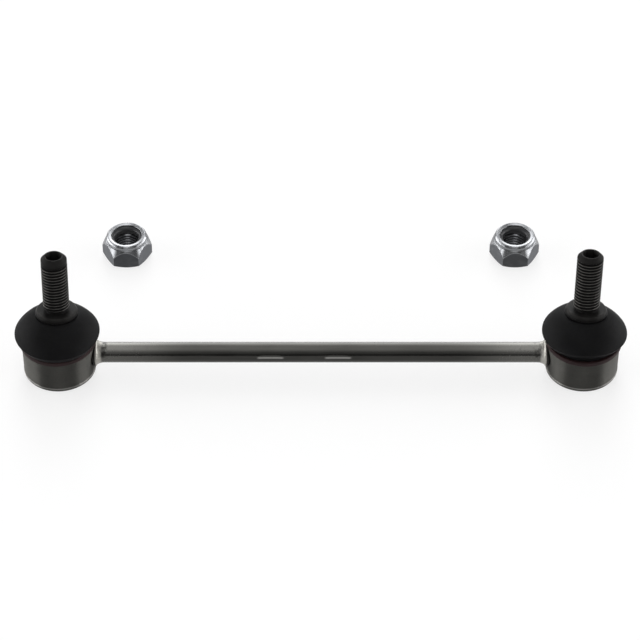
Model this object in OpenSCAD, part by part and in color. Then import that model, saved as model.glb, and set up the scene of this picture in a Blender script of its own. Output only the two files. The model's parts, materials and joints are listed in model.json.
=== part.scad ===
// Stabilizer link: a welded rod with a ball joint at each end and two loose lock nuts.
// The origin is the middle of the left housing's underside. +X runs along the rod to
// the right joint, +Y points to the back, where the nuts lie, and +Z points up.

/* [Link] */
// Distance between the two ball centres
centre_distance = 198; // [150:1:300]
// Diameter of the rod
rod_d = 7.8; // [6:0.1:8.5]
// Height of the rod's axis above the floor
rod_height = 8.3; // [7:0.1:8.6]
// Largest diameter of the ring that the weld squeezes out round each rod end
weld_ring_d = 10.2; // [9:0.1:11]
// Length of the weld ring along the rod
weld_ring_length = 3.8; // [2:0.1:5]
// Length of the full-diameter edge of the weld ring
weld_ring_edge = 0.6; // [0.5:0.1:1.5]
// Length of each flat that the welding jaws pressed into the rod
jaw_flat_length = 10.5; // [4:0.5:14]
// Depth of the jaw flats
jaw_flat_depth = 0.08; // [0.04:0.01:0.2]
// Place of the left jaw flat along the rod, from its middle
left_jaw_flat_offset = -19; // [-30:0.5:-15]
// Place of the right jaw flat along the rod, from its middle
right_jaw_flat_offset = 6.5; // [0:0.5:30]
// Angle that the jaw flats face upwards from straight ahead
jaw_flat_angle = 11; // [-30:1:60]

/* [Housing] */
// Outer diameter of each housing
housing_d = 27.4; // [26.5:0.1:32]
// Height of the shoulder that carries the boot's clamp ring
shoulder_height = 14.1; // [13.6:0.1:16]
// Radius of the rounded bottom edge
bottom_edge_radius = 1.8; // [0.5:0.1:1.9]
// Bevel of the shoulder's outer edge
shoulder_bevel = 0.3; // [0.1:0.1:0.8]
// Height of the neck between the shoulder and its lip
neck_height = 2.1; // [1.8:0.1:2.6]
// Width of the lip that keeps the boot on the neck
neck_lip = 0.5; // [0.3:0.1:0.7]
// Height of the neck's lip
neck_lip_height = 0.7; // [0.5:0.1:1.2]
// Diameter of the mouth at the top of the housing
mouth_d = 19.4; // [18.6:0.1:21]
// Diameter of the throat just above the ball seat
throat_d = 17; // [15.5:0.1:18]
// Height of the throat's straight part
throat_height = 0.6; // [0.3:0.1:1.5]

/* [Seat and end cap] */
// Wall of the ball seat at the ball's middle
seat_wall = 2.5; // [2:0.1:2.8]
// Height that the seat wraps the ball above its middle
seat_wrap = 3; // [2:0.1:3.4]
// Diameter of the grease well in the seat's floor
grease_well_d = 7; // [4:0.5:9]
// Thickness of the end cap
cap_thickness = 1.5; // [1.3:0.1:1.8]
// Width of the step that the end cap rests against
cap_step = 0.9; // [0.5:0.1:1.2]
// Width and height of the bevel that the crimped edge grips
crimp_bevel = 1; // [0.6:0.1:1.1]

/* [Ball stud] */
// Diameter of the ball
ball_d = 15; // [14:0.1:16]
// Gap between the ball's lowest point and the end cap
ball_floor_gap = 0.3; // [0.2:0.1:1]
// Diameter of the neck between the ball and the boot's collar
stud_neck_d = 9; // [7.5:0.1:9.6]
// Diameter of the journal that turns in the boot's slide ring
journal_d = 10.4; // [9.8:0.1:10.8]
// Length of the journal under the flange
journal_length = 3; // [2.4:0.1:4]
// Diameter of the flange that the bracket is clamped against
flange_d = 15.9; // [14:0.1:17]
// Thickness of the flange
flange_thickness = 2; // [1.2:0.1:2.4]
// Height of the flange's top above the ball's middle
flange_rise = 19.1; // [18.5:0.1:20]
// Diameter over the thread's crests, for an M10 thread
thread_crest_d = 9.85; // [8:0.05:10]
// Pitch of the thread
thread_pitch = 1.25; // [1:0.05:1.5]
// Length of the stud above the flange
stud_length = 23.5; // [16:0.1:40]
// Width of the undercut between the flange and the thread
undercut_width = 1.1; // [0.4:0.1:2]
// Bevel of the stud's tip
tip_bevel = 1.5; // [0.5:0.1:1.6]
// Width across the flats of the hex socket in the tip
socket_flats = 5; // [4:0.5:5.5]
// Depth of the hex socket
socket_depth = 5; // [3:0.5:10]

/* [Boot] */
// Outer radius of the boot's dome, about the ball's middle
dome_radius = 18.8; // [18.2:0.1:20]
// Wall of the boot
boot_wall = 1.5; // [1.2:0.1:2]
// Height of the boot's widest edge above the ball's middle
boot_edge_rise = 9.8; // [9:0.1:10.2]
// Thickness of the boot's bead inside the clamp ring
bead_thickness = 0.9; // [0.6:0.1:1.2]
// Outer diameter of the boot's collar round the journal, under the flange
collar_d = 15.2; // [14.8:0.1:17]
// Outer diameter of the clamp ring
clamp_ring_d = 28.6; // [27.8:0.1:29]
// Wall of the clamp ring
clamp_ring_wall = 1.2; // [0.8:0.1:1.5]
// Height of the clamp ring
clamp_ring_height = 1.9; // [1.4:0.1:2]
// Thickness of the slide ring in the boot's collar
slide_ring_wall = 1.2; // [0.8:0.1:1.4]
// Height of the slide ring
slide_ring_height = 1.4; // [1:0.1:1.6]

/* [Lock nuts] */
// Width of a nut across its flats
nut_flats = 17; // [16:0.5:19]
// Height of a nut over its rolled rim
nut_height = 10; // [9:0.1:12]
// Height of a nut's hexagon
nut_hex_height = 7.5; // [6.5:0.1:8]
// Outer diameter of the rolled rim
nut_rim_d = 16; // [14.5:0.1:16.4]
// Thickness of the rolled rim's wall
nut_rim_wall = 0.9; // [0.6:0.1:1.2]
// Opening inside the rolled rim
nut_opening_d = 12.4; // [11:0.1:13]
// Bore of the plastic locking insert
insert_bore_d = 9.4; // [9:0.1:9.8]
// Diameter inside the nut's thread crests
nut_crest_d = 8.75; // [7.5:0.05:8.9]
// Distance of each nut's axis from its stud's joint, towards the middle
nut_inset = 22; // [20:0.1:60]
// Distance of each nut's axis behind the rod
nut_setback = 66; // [40:1:120]

/* [Resting pose] */
// Lean of the left stud to the back, in degrees
left_lean_back = 8; // [-18:0.5:18]
// Lean of the left stud to the right, in degrees
left_lean_side = 0.5; // [-18:0.5:18]
// Lean of the right stud to the back, in degrees
right_lean_back = 10; // [-18:0.5:18]
// Lean of the right stud to the right, in degrees
right_lean_side = 1; // [-18:0.5:18]

/* [Fits] */
// Radial gap between the ball and its seat, and between the journal and the slide ring
running_gap = 0.05; // [0.02:0.01:0.1]
// Radial gap between pieces that are pressed or crimped together
fit_gap = 0.05; // [0.02:0.01:0.1]
// Gap between rubber and the metal next to it
rubber_gap = 0.3; // [0.15:0.05:0.4]

/* [Hidden] */

// Smoothness of round shapes
$fn = 96;
// Overshoot of cutting shapes
over = 0.5;

rod_r = rod_d / 2;
housing_r = housing_d / 2;
ball_r = ball_d / 2;

// Radii of the clamp ring, the boot's bead inside it and the neck inside the bead
clamp_ring_inner_r = clamp_ring_d / 2 - clamp_ring_wall;
bead_outer_r = clamp_ring_inner_r - fit_gap;
bead_inner_r = bead_outer_r - bead_thickness;
neck_r = bead_inner_r - rubber_gap / 2;
neck_lip_r = neck_r + neck_lip;

// Heights above the floor
ball_z = cap_thickness + ball_floor_gap + ball_r;
seat_top_z = ball_z + seat_wrap;
lip_z = shoulder_height + neck_height;
housing_top_z = lip_z + neck_lip_height;

// Radii of the seat, its bore and the end cap
seat_r = ball_r + running_gap + seat_wall;
bore_r = seat_r + fit_gap;
cap_r = bore_r + cap_step;

// Heights above the ball's middle, along the stud
flange_bottom = flange_rise - flange_thickness;
journal_bottom = flange_bottom - journal_length;
stud_tip = flange_rise + stud_length;
thread_start = flange_rise + undercut_width;
collar_top = flange_bottom - rubber_gap;
slide_ring_middle = (journal_bottom + collar_top) / 2;

// Thread form: the crest is an eighth of the pitch wide, the root a quarter
thread_depth = 0.6134 * thread_pitch;
thread_root_r = thread_crest_d / 2 - thread_depth;
nut_root_r = nut_crest_d / 2 + thread_depth;

// Radii of the boot's parts
boot_edge_r = sqrt(pow(dome_radius, 2) - pow(boot_edge_rise, 2));
boot_throat_r = neck_lip_r + rubber_gap;
collar_bore_r = journal_d / 2 + rubber_gap;
slide_ring_inner_r = journal_d / 2 + running_gap;
slide_ring_outer_r = slide_ring_inner_r + slide_ring_wall;

// Bevel round the mouth of the hex socket
socket_bevel = 0.2;

// Nut sizes: the hexagon's corners, its bevels and the insert's groove
nut_corner_r = nut_flats / 2 / cos(30);
nut_face_bevel = 0.3;
nut_face_r = nut_flats / 2 - nut_face_bevel;
nut_bevel_height = 0.9;
nut_shoulder_height = 1.5;
nut_rim_round = 1.1;
insert_r = nut_rim_d / 2 - nut_rim_wall - fit_gap;
insert_seat_depth = 0.7;
rim_lip_thickness = 0.7;
insert_bottom = nut_hex_height - insert_seat_depth;
insert_top = nut_height - rim_lip_thickness;
insert_bevel = 0.5;

// Turns and moves a stud's own axis, with the ball's middle at zero, to its joint
module at_ball(x, lean_back, lean_side) {
    translate([x, 0, ball_z])
        rotate([-lean_back, 0, 0])
            rotate([0, lean_side, 0])
                children();
}

// Points of a row of thread ridges, from height start to below finish
function thread_points(root_r, crest_r, start, finish) = [
    for (turn = [0 : floor((finish - start) / thread_pitch) - 1])
        for (step = [[root_r, 0], [root_r, 4], [crest_r, 9], [crest_r, 11]])
            [step[0], start + (turn + step[1] / 16) * thread_pitch]
];

// Half disc on the axis, centred at a height
module half_disc(radius, z) {
    intersection() {
        translate([0, z])
            circle(radius);
        translate([0, z - radius - over])
            square([radius + over, 2 * (radius + over)]);
    }
}

// What is cut off an outer bottom corner to leave it round
module corner_cut(r, z, radius) {
    difference() {
        translate([r - radius, z - over])
            square([radius + over, radius + over]);
        translate([r - radius, z + radius])
            circle(radius);
    }
}

// Rod

module rod() {
    color("#a3a29c")
    difference() {
        translate([0, 0, rod_height])
            rotate([0, 90, 0])
                cylinder(d = rod_d, h = centre_distance);
        for (x = [0, centre_distance])
            translate([x, 0, 0])
                cylinder(r = housing_r, h = 2 * rod_height);
        for (offset = [left_jaw_flat_offset, right_jaw_flat_offset])
            jaw_flat(centre_distance / 2 + offset);
    }
}

module jaw_flat(x) {
    translate([x, 0, rod_height])
        rotate([-jaw_flat_angle, 0, 0])
            translate([-jaw_flat_length / 2, -rod_r - over, -rod_r])
                cube([jaw_flat_length, over + jaw_flat_depth, rod_d]);
}

// Ring of metal squeezed out where the rod is welded on, from the housing's wall at zero
module weld_ring_shape() {
    flare = weld_ring_d / 2 - rod_r;
    taper = weld_ring_length - weld_ring_edge;
    edge_round = weld_ring_edge / 3;
    rotate([0, 90, 0])
        rotate_extrude()
            polygon(concat(
                [[rod_r, 0], [rod_r + flare - edge_round, 0], [rod_r + flare, edge_round]],
                [for (a = [0 : 15 : 90])
                    [rod_r + flare * (1 - sin(a)), weld_ring_edge + taper * (1 - cos(a))]]
            ));
}

module left_weld_ring() {
    color("#8f8d86")
    translate([housing_r, 0, rod_height])
        weld_ring_shape();
}

module right_weld_ring() {
    color("#8f8d86")
    translate([centre_distance - housing_r, 0, rod_height])
        mirror([1, 0, 0])
            weld_ring_shape();
}

// Housings

module housing_shape() {
    rotate_extrude()
        difference() {
            polygon([
                [cap_r - crimp_bevel, 0],
                [housing_r, 0],
                [housing_r, shoulder_height - shoulder_bevel],
                [housing_r - shoulder_bevel, shoulder_height],
                [neck_r, shoulder_height],
                [neck_r, lip_z],
                [neck_lip_r, lip_z],
                [neck_lip_r, housing_top_z],
                [mouth_d / 2, housing_top_z],
                [throat_d / 2, seat_top_z + throat_height],
                [throat_d / 2, seat_top_z],
                [bore_r, seat_top_z],
                [bore_r, cap_thickness],
                [cap_r, cap_thickness],
                [cap_r, crimp_bevel]
            ]);
            corner_cut(housing_r, 0, bottom_edge_radius);
        }
}

module left_housing() {
    color("#8a8985")
    housing_shape();
}

module right_housing() {
    color("#8a8985")
    translate([centre_distance, 0, 0])
        housing_shape();
}

// Plastic seats that wrap the balls

module ball_seat_shape() {
    well_r = grease_well_d / 2;
    rotate_extrude()
        difference() {
            translate([well_r, cap_thickness])
                square([seat_r - well_r, seat_top_z - cap_thickness]);
            translate([0, ball_z])
                circle(ball_r + running_gap);
        }
}

module left_ball_seat() {
    color("#e4e1d6")
    ball_seat_shape();
}

module right_ball_seat() {
    color("#e4e1d6")
    translate([centre_distance, 0, 0])
        ball_seat_shape();
}

// End caps that the housing's bottom edge is crimped over

module end_cap_shape() {
    edge_r = cap_r - fit_gap;
    rotate_extrude()
        polygon([
            [0, 0],
            [edge_r - crimp_bevel, 0],
            [edge_r, crimp_bevel],
            [edge_r, cap_thickness],
            [0, cap_thickness]
        ]);
}

module left_end_cap() {
    color("#77767a")
    end_cap_shape();
}

module right_end_cap() {
    color("#77767a")
    translate([centre_distance, 0, 0])
        end_cap_shape();
}

// Clamp rings that hold the boots' beads on the housing necks

module clamp_ring_shape() {
    translate([0, 0, shoulder_height])
        rotate_extrude()
            translate([clamp_ring_inner_r, 0])
                square([clamp_ring_wall, clamp_ring_height]);
}

module left_clamp_ring() {
    color("#2a1a1b")
    clamp_ring_shape();
}

module right_clamp_ring() {
    color("#2a1a1b")
    translate([centre_distance, 0, 0])
        clamp_ring_shape();
}

// Boots: a dome about the ball's middle, with a collar that leans with the stud

// Wall of a dome about the ball's middle, down to a height
module dome_wall(inner, outer, floor_z) {
    intersection() {
        difference() {
            circle(outer);
            circle(inner);
        }
        translate([0, floor_z])
            square([outer + over, outer]);
    }
}

module boot_skirt() {
    ring_top = shoulder_height + clamp_ring_height;
    bead_top = ring_top + rubber_gap / 2;
    inner_edge_r = sqrt(pow(dome_radius - boot_wall, 2) - pow(boot_edge_rise, 2));
    edge_z = ball_z + boot_edge_rise;
    rotate_extrude() {
        translate([0, ball_z])
            dome_wall(dome_radius - boot_wall, dome_radius, boot_edge_rise);
        polygon([
            [bead_inner_r, shoulder_height + rubber_gap / 2],
            [bead_outer_r, shoulder_height + rubber_gap / 2],
            [bead_outer_r, bead_top],
            [clamp_ring_d / 2, bead_top],
            [boot_edge_r, edge_z],
            [inner_edge_r, edge_z + boot_wall / 2],
            [boot_throat_r, housing_top_z + rubber_gap],
            [boot_throat_r, lip_z - rubber_gap / 2],
            [bead_inner_r, lip_z - rubber_gap / 2]
        ]);
    }
}

// The collar hangs inside the dome's top and spreads into the middle of its wall
module boot_collar() {
    spread_z = collar_top - boot_wall / 2;
    spread_r = sqrt(pow(dome_radius - boot_wall / 2, 2) - pow(spread_z, 2));
    core_r = collar_bore_r / 2;
    rotate_extrude()
        polygon([
            [core_r, journal_bottom],
            [collar_d / 2, journal_bottom],
            [spread_r, spread_z],
            [spread_r, collar_top + over],
            [core_r, collar_top + over]
        ]);
}

// The collar's bore, the slide ring's groove, and the flat under the stud's flange
module boot_hollow() {
    groove_half = slide_ring_height / 2 + fit_gap;
    rotate_extrude() {
        square([collar_bore_r, collar_top + over]);
        translate([0, collar_top])
            square([dome_radius, dome_radius]);
        translate([0, slide_ring_middle - groove_half])
            square([slide_ring_outer_r + fit_gap, 2 * groove_half]);
    }
}

module boot_shape(x, lean_back, lean_side) {
    difference() {
        union() {
            translate([x, 0, 0])
                boot_skirt();
            at_ball(x, lean_back, lean_side)
                boot_collar();
        }
        at_ball(x, lean_back, lean_side)
            boot_hollow();
    }
}

module left_boot() {
    color("#1d1c1c")
    boot_shape(0, left_lean_back, left_lean_side);
}

module right_boot() {
    color("#1d1c1c")
    boot_shape(centre_distance, right_lean_back, right_lean_side);
}

// Slide rings in the boots' collars

module slide_ring_shape() {
    rotate_extrude()
        translate([slide_ring_inner_r, slide_ring_middle - slide_ring_height / 2])
            square([slide_ring_wall, slide_ring_height]);
}

module left_slide_ring() {
    color("#55544f")
    at_ball(0, left_lean_back, left_lean_side)
        slide_ring_shape();
}

module right_slide_ring() {
    color("#55544f")
    at_ball(centre_distance, right_lean_back, right_lean_side)
        slide_ring_shape();
}

// Ball studs

module ball_stud_shape() {
    journal_r = journal_d / 2;
    flange_r = flange_d / 2;
    crest_r = thread_crest_d / 2;
    tip_r = crest_r - tip_bevel;
    thread_end = stud_tip - tip_bevel;
    socket_corner_r = socket_flats / 2 / cos(30);
    countersink_r = socket_corner_r + socket_bevel;
    difference() {
        rotate_extrude() {
            half_disc(ball_r, 0);
            polygon(concat(
                [
                    [0, 0],
                    [stud_neck_d / 2, 0],
                    [stud_neck_d / 2, journal_bottom],
                    [journal_r, journal_bottom],
                    [journal_r, flange_bottom],
                    [flange_r, flange_bottom],
                    [flange_r, flange_rise],
                    [thread_root_r, flange_rise]
                ],
                thread_points(thread_root_r, crest_r, thread_start, thread_end),
                [
                    [thread_root_r, thread_end - thread_pitch / 8],
                    [crest_r, thread_end],
                    [tip_r, stud_tip],
                    [0, stud_tip]
                ]
            ));
        }
        translate([0, 0, stud_tip - socket_depth])
            cylinder(r = socket_corner_r, h = socket_depth + over, $fn = 6);
        translate([0, 0, stud_tip - countersink_r])
            cylinder(r1 = 0, r2 = countersink_r + over, h = countersink_r + over);
    }
}

module left_ball_stud() {
    color("#2b2a2a")
    at_ball(0, left_lean_back, left_lean_side)
        ball_stud_shape();
}

module right_ball_stud() {
    color("#2b2a2a")
    at_ball(centre_distance, right_lean_back, right_lean_side)
        ball_stud_shape();
}

// Lock nuts, lying flat behind the rod

module at_nut(side) {
    x = side < 0 ? nut_inset : centre_distance - nut_inset;
    translate([x, nut_setback, 0])
        children();
}

module nut_shape() {
    rim_r = nut_rim_d / 2;
    crest_r = nut_crest_d / 2;
    difference() {
        union() {
            intersection() {
                cylinder(r = nut_corner_r, h = nut_hex_height, $fn = 6);
                rotate_extrude()
                    polygon([
                        [0, 0],
                        [nut_face_r, 0],
                        [nut_corner_r, nut_bevel_height],
                        [nut_corner_r, nut_hex_height - nut_shoulder_height],
                        [rim_r, nut_hex_height],
                        [0, nut_hex_height]
                    ]);
            }
            rotate_extrude()
                difference() {
                    translate([0, nut_hex_height - over])
                        square([rim_r, nut_height - nut_hex_height + over]);
                    translate([0, nut_height])
                        mirror([0, 1])
                            corner_cut(rim_r, 0, nut_rim_round);
                }
        }
        nut_hollow(crest_r);
    }
}

// Threaded bore, the groove that holds the insert and the opening in the rolled rim
module nut_hollow(crest_r) {
    entry = nut_root_r - crest_r;
    groove_r = insert_r + fit_gap;
    last_crest = insert_bottom - thread_pitch / 4;
    rotate_extrude()
        polygon(concat(
            [[0, -over], [nut_root_r + over, -over], [crest_r, entry]],
            thread_points(crest_r, nut_root_r, entry, last_crest),
            [
                [crest_r, last_crest],
                [crest_r, insert_bottom],
                [groove_r, insert_bottom],
                [groove_r, insert_top],
                [nut_opening_d / 2, insert_top],
                [nut_opening_d / 2, nut_height + over],
                [0, nut_height + over]
            ]
        ));
}

module left_nut() {
    color("#9b9c9e")
    at_nut(-1)
        nut_shape();
}

module right_nut() {
    color("#9b9c9e")
    at_nut(1)
        nut_shape();
}

module nut_insert_shape() {
    bore_r = insert_bore_d / 2;
    rotate_extrude()
        polygon([
            [bore_r, insert_bottom],
            [insert_r, insert_bottom],
            [insert_r, insert_top],
            [bore_r + insert_bevel, insert_top],
            [bore_r, insert_top - insert_bevel]
        ]);
}

module left_nut_insert() {
    color("#3a3b3d")
    at_nut(-1)
        nut_insert_shape();
}

module right_nut_insert() {
    color("#3a3b3d")
    at_nut(1)
        nut_insert_shape();
}

rod();
left_weld_ring();
right_weld_ring();
left_housing();
right_housing();
left_ball_seat();
right_ball_seat();
left_end_cap();
right_end_cap();
left_clamp_ring();
right_clamp_ring();
left_boot();
right_boot();
left_slide_ring();
right_slide_ring();
left_ball_stud();
right_ball_stud();
left_nut();
right_nut();
left_nut_insert();
right_nut_insert();
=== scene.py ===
# Looks of the stabilizer link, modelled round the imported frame. Outlines and places are in millimetres.
import json
import math

import bpy
from mathutils import Matrix, Vector


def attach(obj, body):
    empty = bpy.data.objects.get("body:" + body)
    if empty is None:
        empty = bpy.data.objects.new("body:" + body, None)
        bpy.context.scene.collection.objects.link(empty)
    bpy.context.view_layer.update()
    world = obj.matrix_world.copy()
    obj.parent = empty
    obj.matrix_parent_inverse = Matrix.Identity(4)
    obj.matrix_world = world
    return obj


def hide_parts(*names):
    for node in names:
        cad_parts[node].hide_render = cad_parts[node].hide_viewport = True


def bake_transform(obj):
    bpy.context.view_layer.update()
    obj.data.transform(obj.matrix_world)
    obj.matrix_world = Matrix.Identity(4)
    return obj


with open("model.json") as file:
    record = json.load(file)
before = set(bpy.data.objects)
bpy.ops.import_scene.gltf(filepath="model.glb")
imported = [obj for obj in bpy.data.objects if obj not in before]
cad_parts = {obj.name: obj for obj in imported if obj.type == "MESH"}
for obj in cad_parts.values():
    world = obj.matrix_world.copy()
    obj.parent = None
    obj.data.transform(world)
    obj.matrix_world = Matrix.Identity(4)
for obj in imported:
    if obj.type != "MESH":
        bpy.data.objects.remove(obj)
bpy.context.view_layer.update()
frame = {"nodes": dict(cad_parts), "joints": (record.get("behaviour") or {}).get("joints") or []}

JOINTS = {joint["name"]: joint for joint in frame["joints"]}
SIDES = ("left", "right")
METRES = 0.001
MM = Matrix.Scale(METRES, 4)

# Sizes and places that shapes and finishes share
CENTRE_DISTANCE = 198.0
MIDDLE = CENTRE_DISTANCE / 2
HOUSING_X = {"left": 0.0, "right": CENTRE_DISTANCE}
WALL_R = 13.7
SHOULDER_Z = 14.1
BALL_Z = 9.3
ROD_Z = 8.3
ROD_R = 3.9
JAW_MARKS = (80.0, 105.5)
PITCH = 1.25
NUT_INSET = 22.0
NUT_X = {"left": NUT_INSET, "right": CENTRE_DISTANCE - NUT_INSET}
NUT_Y = 66.0

# The nut's hexagon, and the cone that bevels its top
CORNER_R = 9.815
FLAT_R = CORNER_R * math.cos(math.radians(30))
CONE_R = 8.3
CONE_TOP = 8.1
CONE_DROP = 3.2
CONE_SLOPE = CONE_DROP / (CORNER_R - CONE_R)


# Workbench

MERGE_REACH = 0.002


def clear_bench():
    """Object mode, with nothing selected."""
    if bpy.context.mode != "OBJECT":
        bpy.ops.object.mode_set(mode="OBJECT")
    bpy.ops.object.select_all(action="DESELECT")


def take(piece, *others):
    """Selects a piece, and others with it."""
    clear_bench()
    for each in (piece, *others):
        each.select_set(True)
    bpy.context.view_layer.objects.active = piece


def close_up(piece):
    """Merges points that lie on each other and turns the faces outwards."""
    take(piece)
    bpy.ops.object.mode_set(mode="EDIT")
    bpy.ops.mesh.select_all(action="SELECT")
    bpy.ops.mesh.remove_doubles(threshold=MERGE_REACH)
    bpy.ops.mesh.normals_make_consistent(inside=False)
    bpy.ops.object.mode_set(mode="OBJECT")


def joined(piece, *others):
    """Several shells that share their rims, as one closed piece."""
    take(piece, *others)
    bpy.ops.object.join()
    close_up(piece)
    return piece


def one_of(master, side, name):
    """A side's own piece: the left one is a copy with its own mesh, the right one the master itself."""
    piece = master
    if side == "left":
        take(master)
        bpy.ops.object.duplicate(linked=False)
        piece = bpy.context.object
    piece.name = piece.data.name = name
    return piece


def settle(piece, place):
    """Puts a piece in its place and keeps that place in its mesh."""
    take(piece)
    piece.matrix_world = place
    bpy.ops.object.transform_apply(location=True, rotation=True, scale=True)


def smooth_step(t):
    """0 up to 0, 1 from 1 on, and a soft step between."""
    t = min(max(t, 0.0), 1.0)
    return t * t * (3.0 - 2.0 * t)


def set_radius(vertex, new_r, z):
    """Moves a point straight in or out to a radius, and to a height."""
    x, y = vertex.co.xy
    r = math.hypot(x, y)
    vertex.co = (x * new_r / r, y * new_r / r, z)


# Outlines

COARSE_STEPS = 72
FINE_STEPS = 128
SPARE_TURNS = 2


def arc(r, z, radius, start, end, steps, rise=None):
    """Points on an arc about (r, z), from one angle to another in degrees.
    Where rise is given, it is the upright radius of an oval arc."""
    rise = rise or radius
    angles = [math.radians(start + (end - start) * i / steps) for i in range(steps + 1)]
    return [(r + radius * math.cos(a), z + rise * math.sin(a)) for a in angles]


def rounded(corners, closed=True, steps=5):
    """An outline whose corners (r, z, radius) are rounded off."""
    points = []
    last = len(corners) - 1
    for i, (r, z, radius) in enumerate(corners):
        if radius == 0 or (not closed and i in (0, last)):
            points.append((r, z))
            continue
        here = Vector((r, z))
        back = (Vector(corners[i - 1][:2]) - here).normalized()
        ahead = (Vector(corners[(i + 1) % len(corners)][:2]) - here).normalized()
        half = back.angle(ahead) / 2
        middle = here + (back + ahead).normalized() * radius / math.sin(half)
        reach = radius / math.tan(half)
        first = here + back * reach - middle
        final = here + ahead * reach - middle
        start = math.degrees(math.atan2(first.y, first.x))
        turn = math.degrees(math.atan2(final.y, final.x)) - start
        turn = (turn + 180.0) % 360.0 - 180.0
        points += arc(middle.x, middle.y, radius, start, start + turn, steps)
    return points


def hex_reach(x, y, flat):
    """How far a hexagon reaches in the direction of a point; its corners are on the x axis."""
    turn = math.degrees(math.atan2(y, x)) % 60.0 - 30.0
    return flat / math.cos(math.radians(turn))


def drawn(name, outline, closed):
    """An outline as a string of edges in the plane of the axis."""
    clear_bench()
    bpy.context.tool_settings.mesh_select_mode = (False, True, False)
    bpy.ops.mesh.primitive_circle_add(vertices=len(outline), radius=1.0, fill_type="NOTHING")
    piece = bpy.context.object
    piece.name = piece.data.name = name
    for vertex, (r, z) in zip(piece.data.vertices, outline):
        vertex.co = (r, 0.0, z)
        vertex.select = False
    ends = {0, len(outline) - 1}
    for edge in piece.data.edges:
        edge.select = set(edge.vertices) == ends
    if not closed:
        bpy.ops.object.mode_set(mode="EDIT")
        bpy.ops.mesh.delete(type="EDGE_FACE")
        bpy.ops.object.mode_set(mode="OBJECT")
    return piece


def turned(name, outline, closed=True, steps=96):
    """A piece turned about the upright axis."""
    piece = drawn(name, outline, closed)
    bpy.ops.object.mode_set(mode="EDIT")
    bpy.ops.mesh.select_all(action="SELECT")
    bpy.ops.mesh.spin(steps=steps, angle=2 * math.pi, center=(0, 0, 0), axis=(0, 0, 1))
    bpy.ops.object.mode_set(mode="OBJECT")
    close_up(piece)
    return piece


def thread(name, root_r, crest_r, span, end_radii, fade, phase):
    """A screw thread as an open tube over a span of height, which fades into a plain ring at both ends.
    The tooth's points are shares of the pitch, with their radii."""
    low, high = span
    low_r, high_r = end_radii
    soft = crest_r + 0.05 * (root_r - crest_r)
    upper = root_r + 0.8 * (soft - root_r)
    tooth = ((0.0, root_r), (0.25, root_r), (0.474, upper), (0.53, soft),
             (0.58, crest_r), (0.67, crest_r), (0.72, soft), (0.776, upper))
    turns = range(-SPARE_TURNS, int((high - low) / PITCH) + SPARE_TURNS)
    outline = [(r, low + PITCH * (turn + phase + share)) for turn in turns for share, r in tooth]
    piece = drawn(name, outline, closed=False)
    take(piece)
    screw = piece.modifiers.new("sweep", "SCREW")
    screw.axis = "Z"
    screw.angle = 2 * math.pi
    screw.screw_offset = PITCH
    screw.steps = screw.render_steps = COARSE_STEPS
    bpy.ops.object.modifier_apply(modifier="sweep")
    close_up(piece)
    for vertex in piece.data.vertices:
        x, y, z = vertex.co
        new_r = low_r + (math.hypot(x, y) - low_r) * smooth_step((z - low) / fade)
        new_r = high_r + (new_r - high_r) * smooth_step((high - z) / fade)
        set_radius(vertex, new_r, min(max(z, low), high))
    close_up(piece)
    return piece


# Shaders

class Tone:
    """A socket in a node tree, on which sums are written as Python."""

    def __init__(self, tree, socket=None):
        self.tree, self.socket = tree, socket

    def node(self, kind, settings=None, sockets=None, out=0):
        """Adds a node: its settings first, then the values or links of its sockets."""
        made = self.tree.nodes.new(kind)
        for setting, value in (settings or {}).items():
            setattr(made, setting, value)
        for name, value in (sockets or {}).items():
            if isinstance(value, Tone):
                self.tree.links.new(value.socket, made.inputs[name])
            else:
                made.inputs[name].default_value = value
        return Tone(self.tree, made.outputs[out])

    def maths(self, operation, *values):
        return self.node("ShaderNodeMath", {"operation": operation}, dict(enumerate(values)))

    def __add__(self, other):
        return self.maths("ADD", self, other)

    def __sub__(self, other):
        return self.maths("SUBTRACT", self, other)

    def __rsub__(self, other):
        return self.maths("SUBTRACT", other, self)

    def __mul__(self, other):
        return self.maths("MULTIPLY", self, other)

    def __abs__(self):
        return self.maths("ABSOLUTE", self)

    __radd__, __rmul__ = __add__, __mul__

    def ramp(self, low, high):
        """0 at low, 1 at high, and a soft step between; low may be the greater one."""
        return self.node("ShaderNodeMapRange", {"interpolation_type": "SMOOTHSTEP"},
                         {"Value": self, "From Min": low, "From Max": high})

    def over(self, under, level):
        """One level where this mask is 1, and what lies under it where it is 0."""
        return under * (1 - self) + self * level

    def parts(self):
        """The x, y and z of a vector."""
        split = self.node("ShaderNodeSeparateXYZ", None, {"Vector": self}).socket.node
        return [Tone(self.tree, socket) for socket in split.outputs]

    def across(self, **parts):
        """The length of a vector made of these parts."""
        made = self.node("ShaderNodeCombineXYZ", None, parts)
        return self.node("ShaderNodeVectorMath", {"operation": "LENGTH"}, {0: made}, "Value")

    def stretched(self, *factors):
        """Coordinates multiplied by a factor along each axis."""
        return self.node("ShaderNodeMapping", None, {"Vector": self, "Scale": factors})

    def millimetres(self):
        """The x, y and z of a place in millimetres."""
        return self.stretched(*[1 / METRES] * 3).parts()

    def noise(self, scale, detail=2.0):
        return self.node("ShaderNodeTexNoise", None, {"Vector": self, "Scale": scale, "Detail": detail})

    def cells(self, scale):
        return self.node("ShaderNodeTexVoronoi", None, {"Vector": self, "Scale": scale})

    def mix(self, low, high):
        """A colour between two, by this value."""
        low, high = [c if isinstance(c, Tone) else (*c, 1.0) for c in (low, high)]
        return self.node("ShaderNodeMix", {"data_type": "RGBA"}, {0: self, 6: low, 7: high}, 2)


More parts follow.
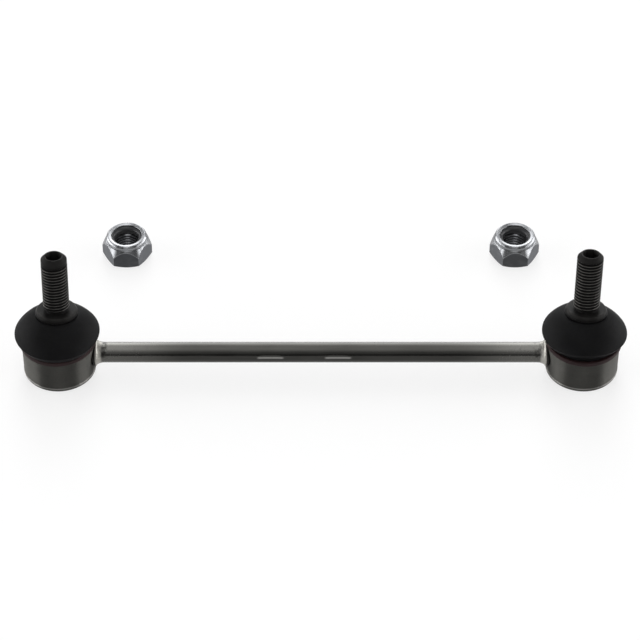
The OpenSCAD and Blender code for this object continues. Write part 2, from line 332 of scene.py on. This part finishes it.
class Finish:
    """A material: fixed numbers sit on the shader's own sockets."""

    def __init__(self, name, **fixed):
        self.material = bpy.data.materials.new(name)
        self.material.use_nodes = True
        tree = self.material.node_tree
        self.shader = tree.nodes["Principled BSDF"]
        for socket, value in fixed.items():
            self.shader.inputs[socket.replace("_", " ")].default_value = value
        self.at = Tone(tree).node("ShaderNodeTexCoord", out="Object")

    def link(self, socket, tone):
        tone.tree.links.new(tone.socket, self.shader.inputs[socket])

    def wear(self, colour, roughness, height, depth):
        """Links what varies: colour, roughness, and a bump of this depth in millimetres."""
        bump = height.node("ShaderNodeBump", None,
                           {"Height": height, "Strength": 1.0, "Distance": depth * METRES})
        for socket, tone in (("Base Color", colour), ("Roughness", roughness), ("Normal", bump)):
            self.link(socket, tone)
        return self.material


# Finishes

# A quarter turn of the shader's tangent, which stretches reflections upright on turned pieces
UPRIGHT = 0.25

# Where the rod's marks begin and end, from its middle outwards
LIGHT_ENDS = (50.0, 78.0)
HEAT_BEGINS = (80.3, 81.4)
HEAT_ENDS = (82.6, 83.2)
FLARE_BEGINS = (82.4, 83.6)
# Past this, the weld ring's end at the housing is darkened: some weld scale, mostly painted shade of the
# crevice
GAP_SHADE_BEGINS = (85.1, 85.3)

# The heat mark is on the rod's upper half, and the jaws' burnish in a narrow line on its front
HEAT_Z = (8.6, 9.6)
BURNISH_Z = 8.87
BURNISH_ENDS = (4.2, 5.4)
BURNISH_EDGE = (0.2, 0.6)
BURNISH_DEPTH = (1.0, 2.0)

# The painted shade on a housing inside the weld ring's crevice, with some weld scale, and the painted
# highlight line above its crimped edge
GAP_SHADE_RADIUS = (5.4, 4.9)
ROD_SIDE = (90.0, 88.0)
CRIMP_HIGHLIGHT_Z = 1.85
CRIMP_HIGHLIGHT_EDGE = (0.12, 0.4)

# The nut's flats lie outside a radius and under the cone, and get painted shade; its bore is inside another
# radius, and gets painted shade of the recess
FLATS_BEGIN = (7.9, 8.2)
UNDER_CONE = (0.03, 0.43)
BORE_SHADE_BEGINS = (5.6, 5.2)


def bar_steel(name, welded=False):
    """The rod, drawn lengthwise and lighter towards its ends, with a heat mark beside each weld.
    It is burnished where jaws held it. The welded rings add a bright flare, and towards the housing a dark
    end that is some weld scale and mostly painted shade of the crevice."""
    finish = Finish(name, Metallic=1.0)
    at = finish.at
    x, y, z = at.millimetres()
    off_middle = abs(x - MIDDLE)
    streak = at.stretched(0.04, 1, 1).noise(2600, 3)
    cloud = at.stretched(0.3, 1, 1).noise(160, 3)
    ends = off_middle.ramp(*LIGHT_ENDS)
    fleck = at.noise(1500, 3).ramp(0.6, 0.7) * ends
    heat = off_middle.ramp(*HEAT_BEGINS) * (1 - off_middle.ramp(*HEAT_ENDS))
    heat = heat * at.noise(520, 2).ramp(0.42, 0.56) * z.ramp(*HEAT_Z)
    tone = streak * 0.22 + cloud * 0.26 + ends * 0.5 + fleck * 0.15 - heat * 0.6
    colour = tone.mix((0.02, 0.0196, 0.0184), (0.121, 0.1195, 0.1115))
    roughness = 0.16 + streak * 0.12 + fleck * 0.1 + heat * 0.1
    height = streak * 0.3 + fleck * 0.4
    if welded:
        lumps, grit = at.noise(700, 3), at.noise(3400, 2)
        flare = off_middle.ramp(*FLARE_BEGINS)
        scale_and_gap_shade = off_middle.ramp(*GAP_SHADE_BEGINS)
        bright = (lumps * 0.7 + grit * 0.3).mix((0.24, 0.234, 0.216), (0.5, 0.488, 0.452))
        # The dark end by the housing is painted shade of the crevice, with some weld scale
        colour = scale_and_gap_shade.mix(flare.mix(colour, bright), (0.03, 0.029, 0.0275))
        roughness = roughness + flare * 0.32 + scale_and_gap_shade * 0.08
        height = height + flare * (lumps + grit * 0.3)
    else:
        held = sum((1 - abs(x - mark).ramp(*BURNISH_ENDS) for mark in JAW_MARKS), 0.0)
        held = held * (1 - abs(z - BURNISH_Z).ramp(*BURNISH_EDGE)) * (0 - y).ramp(*BURNISH_DEPTH)
        colour = held.mix(colour, (0.2, 0.197, 0.19))
    return finish.wear(colour, roughness, height, 0.03)


def weld_gap_shade(at):
    """1 inside the weld ring's circle about the rod, where the housing is darkened: some weld scale, mostly
    painted shade of the crevice.
    """
    x, y, z = at.millimetres()
    faces_rod = abs(x - MIDDLE).ramp(*ROD_SIDE)
    return at.across(Y=y, Z=z - ROD_Z).ramp(*GAP_SHADE_RADIUS) * faces_rod


def painted_crimp_highlight(at):
    """1 on the line above the crimped edge, where a highlight is painted."""
    z = at.millimetres()[2]
    return 1 - abs(z - CRIMP_HIGHLIGHT_Z).ramp(*CRIMP_HIGHLIGHT_EDGE)


def turned_steel(name, low, high, gloss, crimped=False):
    """Turned on a lathe: fine rings that stretch each reflection upright, and a little handling stain.
    The housings get painted shade of the weld ring's crevice, with some weld scale, and a painted highlight
    line above the crimped edge."""
    finish = Finish(name, Metallic=1.0, Anisotropic=0.95, Anisotropic_Rotation=UPRIGHT)
    at = finish.at
    rings = at.stretched(0.02, 0.02, 1).noise(3200, 2)
    cloud = at.noise(130, 4)
    fleck = at.noise(2400, 2).ramp(0.6, 0.72)
    tone = rings * 0.35 + cloud * 0.75 - fleck * 0.2
    if crimped:
        # Painted shade inside the weld ring's crevice, with some weld scale
        colour = (tone * (1 - weld_gap_shade(at))).mix(low, high)
        # A painted highlight line above the crimped edge
        colour = painted_crimp_highlight(at).mix(colour, (0.27, 0.265, 0.253))
    else:
        colour = tone.mix(low, high)
    roughness = gloss + rings * 0.08 + cloud * 0.08 + fleck * 0.08
    return finish.wear(colour, roughness, rings * 0.5 - fleck * 0.4, 0.012)


def phosphate():
    """The studs: a dark, oily, close-grained coat, rubbed down to the steel on crests and edges, where the
    bare steel is partly wear and partly painted highlight lines.
    """
    finish = Finish("phosphate", Specular_IOR_Level=0.03, Anisotropic=0.9, Anisotropic_Rotation=UPRIGHT)
    at = finish.at
    crystals = at.cells(4200)
    cloud = at.noise(260, 3)
    rubbed = at.node("ShaderNodeAttribute", {"attribute_name": "bare_and_highlight"}, out="Fac")
    # Bare steel on crests and the flange's edge: partly wear, partly painted highlight lines
    bare_and_highlight = rubbed * (0.55 + at.noise(500, 3) * 0.9)
    coat = (crystals * 0.3 + cloud * 0.7).mix((0.0032, 0.0031, 0.003), (0.0105, 0.0102, 0.01))
    colour = bare_and_highlight.mix(coat, (0.078, 0.0755, 0.0715))
    finish.link("Metallic", bare_and_highlight)
    roughness = 0.26 + crystals * 0.08 + cloud * 0.08
    return finish.wear(colour, roughness, crystals * 0.6 + cloud * 0.4, 0.012)


def zinc():
    """The nuts: bright plating with faint clouds and small knocks, smoother on the bevel and the rolled rim
    than on the flats. The flats and the bore are darkened as painted shade."""
    finish = Finish("zinc", Metallic=1.0, Anisotropic=0.9, Anisotropic_Rotation=UPRIGHT)
    at = finish.at
    x, y, z = at.millimetres()
    off_axis = at.across(X=abs(x - MIDDLE) - (MIDDLE - NUT_INSET), Y=y - NUT_Y)
    under_cone = CONE_TOP + CONE_R * CONE_SLOPE - (z + off_axis * CONE_SLOPE)
    flats = off_axis.ramp(*FLATS_BEGIN) * under_cone.ramp(*UNDER_CONE)
    bore = off_axis.ramp(*BORE_SHADE_BEGINS)
    cloud = at.noise(240, 4)
    grain = at.noise(5200, 2)
    knocks = at.cells(420).ramp(0.08, 0.02) * at.noise(300, 1).ramp(0.5, 0.62)
    # The darkening of the flats and the bore is painted shade
    tone = cloud * 0.8 + grain * 0.25 - knocks * 0.4 - flats * 0.55 - bore * 0.25
    colour = tone.mix((0.1, 0.103, 0.11), (0.36, 0.367, 0.38))
    roughness = 0.18 + flats * 0.36 + cloud * 0.08 + grain * 0.05
    return finish.wear(colour, roughness, grain * 0.3 - knocks, 0.03)


def rubber():
    """The boots: satin black, with a fine moulded grain and a faint bloom."""
    finish = Finish("rubber", Metallic=0.0, Specular_IOR_Level=0.035)
    at = finish.at
    grain = at.noise(3600, 2)
    bloom = at.noise(120, 4)
    dust = at.noise(1900, 3).ramp(0.62, 0.74)
    colour = (bloom * 0.7 + dust * 0.35).mix((0.004, 0.004, 0.0043), (0.012, 0.012, 0.0124))
    return finish.wear(colour, 0.42 + bloom * 0.14 + grain * 0.08, grain + dust * 0.3, 0.02)


def moulded(name, low, high, gloss, shine):
    """Moulded plastic: fine grain with slight flow clouds."""
    finish = Finish(name, Metallic=0.0, Specular_IOR_Level=shine)
    at = finish.at
    grain = at.noise(3000, 2)
    flow = at.stretched(1, 1, 0.3).noise(240, 3)
    colour = (flow * 0.9 + grain * 0.2).mix(low, high)
    return finish.wear(colour, gloss + grain * 0.1 + flow * 0.06, grain + flow * 0.5, 0.015)


FINISHES = {
    "rod_steel": bar_steel("rod_steel"),
    "weld_steel": bar_steel("weld_steel", welded=True),
    "housing_steel": turned_steel("housing_steel", (0.042, 0.0412, 0.0382), (0.104, 0.1022, 0.0948), 0.46,
                                  crimped=True),
    "cap_steel": turned_steel("cap_steel", (0.12, 0.118, 0.114), (0.24, 0.236, 0.228), 0.26),
    "ring_steel": turned_steel("ring_steel", (0.2, 0.198, 0.19), (0.34, 0.335, 0.325), 0.24),
    "seat_plastic": moulded("seat_plastic", (0.5, 0.48, 0.42), (0.62, 0.6, 0.54), 0.4, 0.4),
    "clamp_plastic": moulded("clamp_plastic", (0.008, 0.0042, 0.0044), (0.022, 0.0095, 0.01), 0.42, 0.12),
    "boot_rubber": rubber(),
    "stud_steel": phosphate(),
    "nut_zinc": zinc(),
    "insert_plastic": moulded("insert_plastic", (0.022, 0.0226, 0.0245), (0.046, 0.0467, 0.0495), 0.3, 0.3),
}


def dress(piece, node, body, slot, crease=35.0):
    """Shades a finished piece, gives it its finish and hangs it on its body. A boot has no single body."""
    take(piece)
    bpy.ops.object.shade_smooth_by_angle(angle=math.radians(crease))
    piece.data.materials.clear()
    piece.data.materials.append(FINISHES[slot])
    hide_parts(node)
    if body:
        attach(piece, body)


def dress_solids():
    """The pieces inside the joints keep their solids and get a finish."""
    slots = {"ball_seat": "seat_plastic", "end_cap": "cap_steel", "slide_ring": "ring_steel"}
    for side in SIDES:
        for node, slot in slots.items():
            solid = frame["nodes"][f"{side}_{node}"]
            solid.data.materials.clear()
            solid.data.materials.append(FINISHES[slot])


# Housings and clamp rings

NECK_R = 12.0
NECK_LIP_R = 12.5
NECK_LIP_Z = 16.2
CUP_TOP = 16.9
MOUTH_R = 9.7
THROAT_R = 8.5
SEAT_R = 10.1
SEAT_TOP = 12.3
CAP_R = 11.0
CAP_TOP = 1.5


def housing():
    """The cup: crimped bottom edge with a fine ridge, plain wall, and a lipped neck for the boot."""
    foot = [(10.0, 0.0, 0.1), (WALL_R, 0.0, 1.5), (WALL_R, 1.95, 0.1), (WALL_R - 0.1, 2.1, 0.1)]
    neck = [(WALL_R - 0.06, SHOULDER_Z, 0.35), (NECK_R, SHOULDER_Z, 0), (NECK_R, NECK_LIP_Z, 0),
            (NECK_LIP_R, NECK_LIP_Z, 0), (NECK_LIP_R, CUP_TOP, 0.2)]
    bore = [(MOUTH_R, CUP_TOP, 0.3), (THROAT_R, 12.9, 0), (THROAT_R, SEAT_TOP, 0), (SEAT_R, SEAT_TOP, 0),
            (SEAT_R, CAP_TOP, 0), (CAP_R, CAP_TOP, 0), (CAP_R, 1.0, 0)]
    return turned("housing", rounded(foot + neck + bore), steps=FINE_STEPS)


def clamp_ring():
    """The band that holds the boot on the neck, just above the shoulder."""
    inner, outer = 13.1, 14.3
    low, high = SHOULDER_Z + 0.02, 15.98
    outline = [(inner, low, 0.15), (outer, low, 0.35), (outer, high, 0.45), (inner, high, 0.2)]
    return turned("clamp_ring", rounded(outline), steps=FINE_STEPS)


def build_housings():
    masters = ((housing(), "housing", "housing_steel"), (clamp_ring(), "clamp_ring", "clamp_plastic"))
    for side in SIDES:
        for master, node, slot in masters:
            piece = one_of(master, side, f"{side}_{node}_turned")
            settle(piece, MM @ Matrix.Translation((HOUSING_X[side], 0, 0)))
            dress(piece, f"{side}_{node}", "link", slot)


# Rod and weld rings

BLANK_START = 13.0
BLANK_END = CENTRE_DISTANCE - BLANK_START
MARK_HALF_LENGTH = 5.6
MARK_DEPTH = 0.11
MARK_FACES_UP = 11.0

WELD_R = 5.1
WELD_LENGTH = 3.8
WELD_EDGE = 0.6
WELD_ROUNDING = 0.3
BEAD_R = 4.65
BEAD_FOOT = -1.0
INWARDS = {"left": 90.0, "right": -90.0}


def along_rod(x, turn):
    """Lays an upright piece along the rod's axis, with its foot at x."""
    return Matrix.Translation((x, 0, ROD_Z)) @ Matrix.Rotation(math.radians(turn), 4, "Y")


def build_rod():
    """The bar, cut to the housings' walls, with two shallow pressed marks on its front."""
    rows = {round(MIDDLE + 1.7 * i, 2) for i in range(-50, 51)}
    rows |= {round(mark + 0.35 * i, 2) for mark in JAW_MARKS for i in range(-20, 21)}
    rings = (0.0, 1.3, 2.6, ROD_R)
    outline = [(r, BLANK_START) for r in rings]
    outline += [(ROD_R, row) for row in sorted(rows)]
    outline += [(r, BLANK_END) for r in reversed(rings)]
    rod = turned("rod_drawn", outline, closed=False)
    settle(rod, along_rod(0, 90.0))
    up = math.radians(MARK_FACES_UP)
    facing = Vector((0, -math.cos(up), math.sin(up)))
    axis = Vector((0, 0, ROD_Z))
    for vertex in rod.data.vertices:
        x, y = vertex.co.xy
        for mark in JAW_MARKS:
            inside = 1.0 - abs(x - mark) / MARK_HALF_LENGTH
            if inside > 0:
                level = ROD_R - MARK_DEPTH * smooth_step(inside * 1.6)
                vertex.co -= facing * max(0.0, (vertex.co - axis).dot(facing) - level)
        wall = math.sqrt(WALL_R ** 2 - y * y)
        if x < BLANK_START + 0.1:
            vertex.co.x = wall
        elif x > BLANK_END - 0.1:
            vertex.co.x = CENTRE_DISTANCE - wall
    settle(rod, MM)
    dress(rod, "rod", "link", "rod_steel")


def weld_ring():
    """The flared, slightly uneven ring that the weld pushed up, and its bead down to the housing's wall."""
    bore = ROD_R - 0.04
    edge = arc(WELD_R - WELD_ROUNDING, WELD_ROUNDING, WELD_ROUNDING, -90, 0, 4)
    throat = arc(WELD_R, WELD_LENGTH, WELD_R - ROD_R, 270, 180, 9, rise=WELD_LENGTH - WELD_EDGE)
    bead = [(bore, BEAD_FOOT), (BEAD_R, BEAD_FOOT), (BEAD_R, 0.02)]
    ring = turned("weld_ring", [*bead, *edge, *throat, (bore, WELD_LENGTH)])
    for vertex in ring.data.vertices:
        x, y, z = vertex.co
        turn = math.atan2(y, x)
        swell = 1 + 0.01 * math.sin(3 * turn + 0.6) + 0.006 * math.sin(7 * turn)
        if math.hypot(x, y) > ROD_R + 0.1:
            vertex.co.xy = x * swell, y * swell
        if z < BEAD_FOOT / 2:
            vertex.co.z = math.sqrt(WALL_R ** 2 - vertex.co.y ** 2) - WALL_R
    return ring


def build_weld_rings():
    master = weld_ring()
    for side in SIDES:
        ring = one_of(master, side, f"{side}_weld_ring_upset")
        settle(ring, MM @ along_rod(HOUSING_X[side], INWARDS[side]) @ Matrix.Translation((0, 0, WALL_R)))
        dress(ring, f"{side}_weld_ring", "link", "weld_steel", crease=40)


# Ball studs

BALL_R = 7.5
SHANK_R = 4.5
JOURNAL_R = 5.2
FLANGE_R = 7.95
FLANGE_FOOT = 17.1
FLANGE_TOP = 19.1
ROOT_R = 4.158
CREST_R = 4.925
PLAIN_R = 4.87
THREAD_START = 20.0
THREAD_END = {"left": 39.6, "right": 41.0}
THREAD_PHASE = {"left": 0.2, "right": 0.35}
THREAD_FADE = {"left": 0.9, "right": 0.4}
TIP = 42.6
TIP_FACE = TIP - 0.05
SOCKET_FLAT = 2.5
SOCKET_R = SOCKET_FLAT / math.cos(math.radians(30))
SOCKET_MOUTH = 3.12
SOCKET_SLOPE = 2.2
SOCKET_DEPTH = 5.0

# Where the studs' coat is rubbed off, which is partly wear and partly painted highlight lines, over how
# wide a step, and how far
BARE_AND_HIGHLIGHT_CREST_R = 4.79
BARE_AND_HIGHLIGHT_CREST_STEP = 0.1
BARE_AND_HIGHLIGHT_EDGE_R = 7.0
BARE_AND_HIGHLIGHT_EDGE_STEP = 0.15
BARE_AND_HIGHLIGHT_EDGE = 0.16
BARE_AND_HIGHLIGHT_TIP = 0.08


def stud_foot():
    """The ball, shank, journal and flange."""
    ball = arc(0, 0, BALL_R, -90, 50, 26)
    shank = [(4.6, 6.1, 0), (SHANK_R, 6.9, 0), (SHANK_R, 13.6, 0.4), (JOURNAL_R, 14.1, 0),
             (JOURNAL_R, FLANGE_FOOT, 0)]
    flange = [(FLANGE_R, FLANGE_FOOT, 0.25), (FLANGE_R, 17.9, 0.5), (7.2, FLANGE_TOP, 0.22),
              (4.35, FLANGE_TOP, 0.25), (ROOT_R, THREAD_START, 0)]
    outline = ball + rounded(shank + flange, closed=False, steps=6)
    return turned("foot", outline, closed=False, steps=COARSE_STEPS)


def stud_tip(start):
    """The bevelled tip above the thread and its hex socket."""
    outline = rounded([(PLAIN_R, start, 0), (PLAIN_R, 41.2, 0.4), (3.55, TIP_FACE, 0.3),
                       (SOCKET_MOUTH, TIP_FACE, 0)], closed=False, steps=4)
    floor = TIP - SOCKET_DEPTH
    outline += [(SOCKET_R, TIP - 0.5), (SOCKET_R, floor), (0, floor - 0.4)]
    tip = turned("tip", outline, closed=False, steps=COARSE_STEPS)
    for vertex in tip.data.vertices:
        x, y, z = vertex.co
        if abs(math.hypot(x, y) - SOCKET_R) < 0.05:
            new_r = hex_reach(x, y, SOCKET_FLAT)
            mouth = TIP_FACE - SOCKET_SLOPE * (SOCKET_MOUTH - new_r)
            set_radius(vertex, new_r, mouth if z > floor + 1 else z)
    return tip


def mark_bare_steel_and_highlights(bolt, end, fade):
    """Writes how far the coat is rubbed off, on the thread's crests, the tip and the flange's edge: partly
    wear, partly painted highlight lines.
    """
    bare_and_highlight = bolt.data.attributes.new("bare_and_highlight", "FLOAT", "POINT")
    for vertex, mark in zip(bolt.data.vertices, bare_and_highlight.data):
        x, y, z = vertex.co
        r = math.hypot(x, y)
        if THREAD_START < z < end:
            crest = smooth_step((r - BARE_AND_HIGHLIGHT_CREST_R) / BARE_AND_HIGHLIGHT_CREST_STEP)
            mark.value = crest * smooth_step((end - z) / fade - 0.3)
        elif z > end:
            mark.value = BARE_AND_HIGHLIGHT_TIP
        elif z > FLANGE_TOP - 0.3:
            mark.value = BARE_AND_HIGHLIGHT_EDGE * smooth_step((r - BARE_AND_HIGHLIGHT_EDGE_R) / BARE_AND_HIGHLIGHT_EDGE_STEP)


def stud(side):
    """A stud, upright, with the ball's middle at the origin: foot, fading thread and tip."""
    end, fade = THREAD_END[side], THREAD_FADE[side]
    bolt = thread(f"{side}_ball_stud_threaded", ROOT_R, CREST_R, (THREAD_START, end), (ROOT_R, PLAIN_R),
                  fade, THREAD_PHASE[side])
    joined(bolt, stud_foot(), stud_tip(end))
    mark_bare_steel_and_highlights(bolt, end, fade)
    return bolt


def ball_place(side):
    """The stud's own frame in the model: its ball's middle, leaning along its axis."""
    axis = Vector(JOINTS[f"{side}_stud_spin"]["axis"])
    lean = Vector((0, 0, 1)).rotation_difference(axis).to_matrix().to_4x4()
    return Matrix.Translation((HOUSING_X[side], 0, BALL_Z)) @ lean


def build_studs():
    for side in SIDES:
        piece = stud(side)
        settle(piece, MM @ ball_place(side))
        dress(piece, f"{side}_ball_stud", f"{side}_stud_body", "stud_steel")


# Boots

DOME_R = 18.8
HOLLOW_R = 17.3
LIP_Z = 9.8
COLLAR_TOP = 16.8
COLLAR_R = 5.5
RING_R = 6.5

# Rise above the ball's middle, in degrees, where the boot starts to lean with its stud, and over how much
LEAN_FROM = 33.0
LEAN_OVER = 28.0

# The pull on the front of the lower lip, and how far it reaches round the lip
LIP_LIFT = {"left": 0.0, "right": 1.2}
LIP_PULL = Vector((0, 0.8, 1.0))
BEAD_TOP = 6.8
BEAD_SIDE = 13.2
PULL_RISE = 2.9
PULL_WIDTH = 1.0
PULL_ENDS_FROM = 34.0
PULL_ENDS_OVER = 14.0


def boot():
    """The boot as moulded, upright, with the ball's middle at the origin."""
    low = math.degrees(math.asin(LIP_Z / DOME_R))
    high = math.degrees(math.asin(COLLAR_TOP / DOME_R))
    dome_foot = arc(0, 0, DOME_R, low + 4, low + 5, 1)[0]
    dome = arc(0, 0, DOME_R, low + 5, high - 1, 22)
    bead = [(12.8, 7.9, 0), (12.8, 6.75, 0), (12.15, 6.75, 0), (12.15, 4.95, 0.15), (13.05, 4.95, 0.15),
            (13.05, 6.85, 0)]
    lip = [(14.25, 6.85, 0.3), (16.06, 9.75, 0.55), (*dome_foot, 0)]
    collar = [(*dome[-1], 0), (8.42, COLLAR_TOP, 0.3), (COLLAR_R, COLLAR_TOP, 0), (COLLAR_R, 16.2, 0),
              (RING_R, 16.2, 0), (RING_R, 14.7, 0), (COLLAR_R, 14.7, 0), (COLLAR_R, 14.1, 0),
              (7.6, 14.1, 0.2), (7.95, 15.37, 0)]
    hollow = arc(0, 0, HOLLOW_R, 62, 37, 14)
    outline = rounded(bead + lip, closed=False) + dome[:-1] + rounded(collar, closed=False) + hollow
    return turned("boot", outline, steps=FINE_STEPS)


def lean_boot(piece, lean, tilt, lip_lift):
    """Draws a boot over with its stud: the collar goes all the way, the skirt stays, and the front of
    the lower lip is pulled up and in."""
    for vertex in piece.data.vertices:
        x, y, z = vertex.co
        r = math.hypot(x, y)
        rise = math.degrees(math.atan2(z, r))
        near_lip = max(smooth_step((z - BEAD_TOP) / PULL_RISE), smooth_step((r - BEAD_SIDE) / PULL_WIDTH))
        near_lip *= 1 - smooth_step((rise - PULL_ENDS_FROM) / PULL_ENDS_OVER)
        vertex.co += LIP_PULL * lip_lift * near_lip * max(0.0, -y / r) ** 2
        share = smooth_step((rise - LEAN_FROM) / LEAN_OVER)
        vertex.co = Matrix.Rotation(lean * share, 3, tilt) @ vertex.co


def build_boots():
    """Each boot is drawn over to lean with its stud; it hangs on no body."""
    master = boot()
    for side in SIDES:
        piece = one_of(master, side, f"{side}_boot_moulded")
        lean = math.acos(JOINTS[f"{side}_stud_spin"]["axis"][2])
        tilt = Vector(JOINTS[f"{side}_stud_tilt"]["axis"])
        lean_boot(piece, lean, tilt, LIP_LIFT[side])
        settle(piece, MM @ Matrix.Translation((HOUSING_X[side], 0, BALL_Z)))
        dress(piece, f"{side}_boot", None, "boot_rubber")
        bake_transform(piece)


# Nuts

NUT_ROOT_R = 5.142
NUT_CREST_R = 4.375
NUT_THREAD = (0.5, 6.6)
NUT_THREAD_ENDS = (4.64, 5.1)
FOOT_R = 8.2
FOOT_BEVEL = 0.9
RIM_R = 8.0
NUT_TOP = 10.0
POCKET_R = 7.1
POCKET_FLOOR = 6.8
EDGE_BEVEL = 0.13


def nut_height(r, above):
    """The height of the hexagon's bevel at a radius: the top cone, or the bevel round the foot."""
    if above:
        return CONE_TOP - (r - CONE_R) * CONE_SLOPE
    return (r - FOOT_R) / (CORNER_R - FOOT_R) * FOOT_BEVEL


def nut_shell():
    """The outside of the nut, from the thread's foot round to its top: a hexagon with a rolled rim."""
    (low, high), (low_r, high_r) = NUT_THREAD, NUT_THREAD_ENDS
    foot = [(low_r, low, 0), (5.14, 0.0, 0.08), (FOOT_R, 0.0, 0), (CORNER_R, FOOT_BEVEL, 0)]
    cone = [(CORNER_R, CONE_TOP - CONE_DROP, 0), (CONE_R, CONE_TOP, 0)]
    rim = [(RIM_R, 8.3, 0.2), (RIM_R, 9.3, 0.5), (7.4, NUT_TOP, 0.3), (7.2, NUT_TOP, 0.04),
           (7.12, 9.86, 0.03), (7.03, 9.98, 0.05), (6.05, 9.74, 0.18), (5.95, 9.34, 0.08)]
    pocket = [(POCKET_R, 9.3, 0), (POCKET_R, POCKET_FLOOR, 0), (high_r, POCKET_FLOOR, 0), (high_r, high, 0)]
    outline = rounded(foot + cone + rim + pocket, closed=False)
    shell = turned("shell", outline, closed=False, steps=COARSE_STEPS)
    for vertex in shell.data.vertices:
        x, y, z = vertex.co
        if math.hypot(x, y) > CORNER_R - 0.01:
            new_r = hex_reach(x, y, FLAT_R)
            set_radius(vertex, new_r, nut_height(new_r, z > CONE_TOP / 2))
    take(shell)
    edges = shell.modifiers.new("edges", "BEVEL")
    edges.width = EDGE_BEVEL
    edges.segments = 2
    edges.limit_method = "ANGLE"
    edges.angle_limit = math.radians(20)
    bpy.ops.object.modifier_apply(modifier="edges")
    return shell


def nut():
    """Hex lock nut: the thread inside and the shell round it."""
    tube = thread("nut", NUT_ROOT_R, NUT_CREST_R, NUT_THREAD, NUT_THREAD_ENDS, fade=0.7, phase=0.3)
    return joined(tube, nut_shell())


def nut_insert():
    """The locking ring: a funnel down to a bore just under the thread's size."""
    bore, mouth, outer = 4.7, 6.2, 7.05
    low, bend, high = 6.85, 8.0, 9.25
    funnel = arc(mouth, bend, mouth - bore, 90, 180, 9, rise=high - bend)
    return turned("nut_insert", [(bore, low), (outer, low), (outer, high), *funnel])


def build_nuts():
    """Both nuts with their inserts, lying on the floor; weighted normals keep the flats even."""
    for master, node, slot in ((nut(), "nut", "nut_zinc"), (nut_insert(), "nut_insert", "insert_plastic")):
        for side in SIDES:
            piece = one_of(master, side, f"{side}_{node}_formed")
            settle(piece, MM @ Matrix.Translation((NUT_X[side], NUT_Y, 0)))
            dress(piece, f"{side}_{node}", f"{side}_nut_body", slot)
            piece.modifiers.new("even_flats", "WEIGHTED_NORMAL").keep_sharp = True
            take(piece)
            bpy.ops.object.modifier_apply(modifier="even_flats")


# Floor, light and camera

FLOOR_SIZE = 14.0
FLOOR_PLACE = (MIDDLE * METRES, 0.02, -0.00002)
FLOOR_GLOW = 0.72

# Levels of the light tent
TENT_REST = 0.08
TENT_STRIP = 2.5
TENT_DIM = 0.1
TENT_SIDE = 7.0
TENT_BACK = 5.2
TENT_FRONT = 0.5


def build_floor():
    """White paper: it glows a little where it is seen, straight or in metal, and keeps the shadows."""
    clear_bench()
    bpy.ops.mesh.primitive_plane_add(size=FLOOR_SIZE, location=FLOOR_PLACE)
    floor = bpy.context.object
    floor.name = floor.data.name = "floor"
    paper = Finish("paper", Specular_IOR_Level=0.0)
    at, tree = paper.at, paper.at.tree
    cloud = at.noise(3, 2)
    colour = cloud.mix((0.93, 0.93, 0.93), (0.95, 0.95, 0.95))
    floor.data.materials.append(paper.wear(colour, 0.9 + cloud * 0.05, cloud, 0.0))
    path = at.node("ShaderNodeLightPath").socket.node.outputs
    seen = sum((Tone(tree, path[f"Is {kind} Ray"]) for kind in ("Camera", "Glossy", "Transmission")), 0.0)
    glow = at.node("ShaderNodeEmission", None, {"Color": (1, 1, 1, 1), "Strength": 1.0})
    lit = Tone(tree, paper.shader.outputs[0])
    shown = at.node("ShaderNodeMixShader", None, {0: seen * FLOOR_GLOW, 1: lit, 2: glow})
    tree.links.new(shown.socket, tree.nodes["Material Output"].inputs["Surface"])


def light_tent():
    """A dim tent with a bright strip overhead that runs to the back, low bright walls on either side,
    a bright back wall, and a front that is dim below and a little lighter above."""
    world = bpy.data.worlds.new("light_tent")
    world.use_nodes = True
    bpy.context.scene.world = world
    x, y, z = Tone(world.node_tree).node("ShaderNodeTexCoord", out="Generated").parts()
    off = abs(x)
    high = z.ramp(0.2, 0.5)
    level = TENT_REST + (1 - off.ramp(0.1, 0.24)) * TENT_STRIP
    side = off.ramp(0.4, 0.55) * y.ramp(-0.65, -0.45) * (1 - y.ramp(0.55, 0.75))
    level = side.over(level, TENT_DIM + (1 - high) * TENT_SIDE)
    back = y.ramp(0.58, 0.72) * (1 - off.ramp(0.18, 0.34))
    level = back.over(level, TENT_BACK)
    front = (0 - y).ramp(0.2, 0.85) * (1 - off.ramp(0.5, 0.75))
    level = front.over(level, TENT_DIM + high * TENT_FRONT)
    background = world.node_tree.nodes["Background"]
    background.inputs["Color"].default_value = (1, 1, 1, 1)
    world.node_tree.links.new(level.socket, background.inputs["Strength"])


def set_camera():
    clear_bench()
    bpy.ops.object.camera_add(location=(0.0987, -0.7229, 0.6912), rotation=(math.radians(47.33), 0, 0))
    camera = bpy.context.object
    camera.data.sensor_width = 36.0
    camera.data.lens = 147.89
    camera.data.clip_start = 0.01
    camera.data.clip_end = 50.0
    bpy.context.scene.camera = camera


build_housings()
build_rod()
build_weld_rings()
build_studs()
build_boots()
build_nuts()
dress_solids()
build_floor()
light_tent()
set_camera()
bpy.context.scene.view_settings.view_transform = "Standard"
